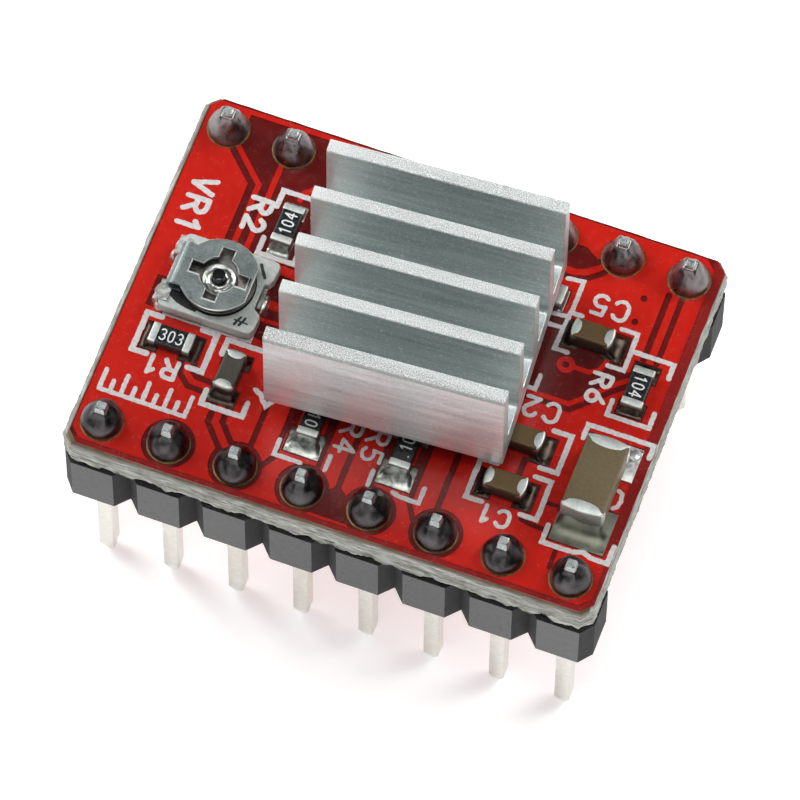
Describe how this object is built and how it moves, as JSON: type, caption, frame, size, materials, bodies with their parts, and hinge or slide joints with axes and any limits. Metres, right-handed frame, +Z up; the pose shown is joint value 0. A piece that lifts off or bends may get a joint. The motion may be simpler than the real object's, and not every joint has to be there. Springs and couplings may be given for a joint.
{
  "type": "stepper driver module",
  "caption": "Small red circuit board on two rows of header pins, with a finned aluminium heatsink on its driver chip, a turning trimmer, chip resistors and chip capacitors.",
  "frame": {"origin": "on the surface that the pin tips stand on, below the centre of the board", "axes": "+X along the pin rows, towards the end with the large capacitor; +Y from the front pin row to the back one; +Z up, out of the board's component side"},
  "size_m": [0.0204, 0.0152, 0.0162],
  "materials": {
    "board_red": "glossy red solder mask over bare laminate",
    "mask_over_copper": "glossy red solder mask over copper",
    "silkscreen": "white printed ink",
    "header_plastic": "moulded, satin",
    "pin_tin": "tin plated, bright",
    "end_cap_tin": "matte tin",
    "solder": "smooth, glossy",
    "aluminium": "bare extrusion, drawn lines along the fins",
    "adhesive_pad": "matte",
    "chip_black": "moulded epoxy",
    "ceramic_white": "unglazed alumina",
    "track_black": "resistive ink",
    "rotor_steel": "plated sheet, satin",
    "resistor_black": "glassy overcoat",
    "capacitor_tan": "satin ceramic",
    "capacitor_brown": "satin ceramic"
  },
  "bodies": {
    "module": {"board": "board_red", "capacitor_c1": "capacitor_tan", "capacitor_c2": "capacitor_tan", "capacitor_c3": "capacitor_brown", "capacitor_c4": "capacitor_tan", "capacitor_c5": "capacitor_tan", "driver_chip": "chip_black", "header_strip_back": "header_plastic", "header_strip_front": "header_plastic", "heatsink": "aluminium", "pin_back_1": "pin_tin", "pin_back_2": "pin_tin", "pin_back_3": "pin_tin", "pin_back_4": "pin_tin", "pin_back_5": "pin_tin", "pin_back_6": "pin_tin", "pin_back_7": "pin_tin", "pin_back_8": "pin_tin", "pin_front_1": "pin_tin", "pin_front_2": "pin_tin", "pin_front_3": "pin_tin", "pin_front_4": "pin_tin", "pin_front_5": "pin_tin", "pin_front_6": "pin_tin", "pin_front_7": "pin_tin", "pin_front_8": "pin_tin", "resistor_r1": "resistor_black", "resistor_r2": "resistor_black", "resistor_r3": "resistor_black", "resistor_r4": "resistor_black", "resistor_r5": "resistor_black", "resistor_r6": "resistor_black", "solder_back_1": "solder", "solder_back_2": "solder", "solder_back_3": "solder", "solder_back_4": "solder", "solder_back_5": "solder", "solder_back_6": "solder", "solder_back_7": "solder", "solder_back_8": "solder", "solder_front_1": "solder", "solder_front_2": "solder", "solder_front_3": "solder", "solder_front_4": "solder", "solder_front_5": "solder", "solder_front_6": "solder", "solder_front_7": "solder", "solder_front_8": "solder", "thermal_pad": "adhesive_pad", "trimmer_base": "ceramic_white", "trimmer_rivet": "pin_tin", "trimmer_terminal_lower": "pin_tin", "trimmer_terminal_upper": "pin_tin", "trimmer_terminal_wiper": "pin_tin", "trimmer_track": "track_black"},
    "rotor": {"trimmer_rotor": "rotor_steel"}
  },
  "joints": [
    {"name": "trimmer_turn", "type": "hinge", "parent": "module", "child": "rotor", "pos_m": [-0.00682, 0, 0.011], "axis": [0, 0, 1], "range_deg": [-125, 125]}
  ]
}
